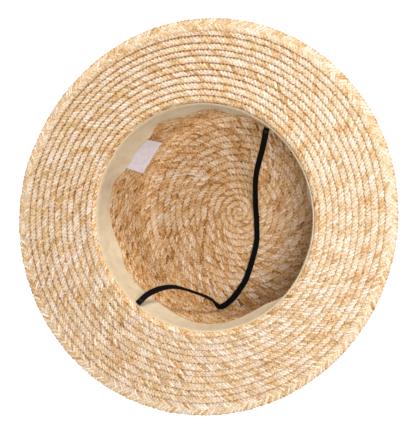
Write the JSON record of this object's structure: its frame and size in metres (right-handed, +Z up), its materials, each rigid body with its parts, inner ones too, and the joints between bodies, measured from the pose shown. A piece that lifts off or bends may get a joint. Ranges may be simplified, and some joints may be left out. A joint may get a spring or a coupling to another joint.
{
  "type": "straw hat",
  "caption": "Wide-brimmed straw hat of sewn braid with a flat-topped crown, cloth sweatband, bare label and elastic chin strap, lying upside down on its crown.",
  "frame": {"origin": "On the surface that the crown's tip rests on, under the middle of the hat's box", "axes": "+Z up, out of the head opening; +X and -X towards the chin strap's two seams; +Y towards the back of the hat, where the label is"},
  "size_m": [0.3278, 0.3139, 0.1038],
  "materials": {
    "straw": "plaited wheat straw, sewn in rows, natural honey and cream",
    "band_cloth": "plain woven cotton band, pale beige",
    "label_cloth": "woven satin tab, pale lilac white, without text",
    "elastic": "flat ribbed elastic, black, dull"
  },
  "bodies": {
    "root": {"crown": "straw", "brim": "straw", "sweatband": "band_cloth", "label": "label_cloth", "chin_strap": "elastic"}
  },
  "joints": []
}
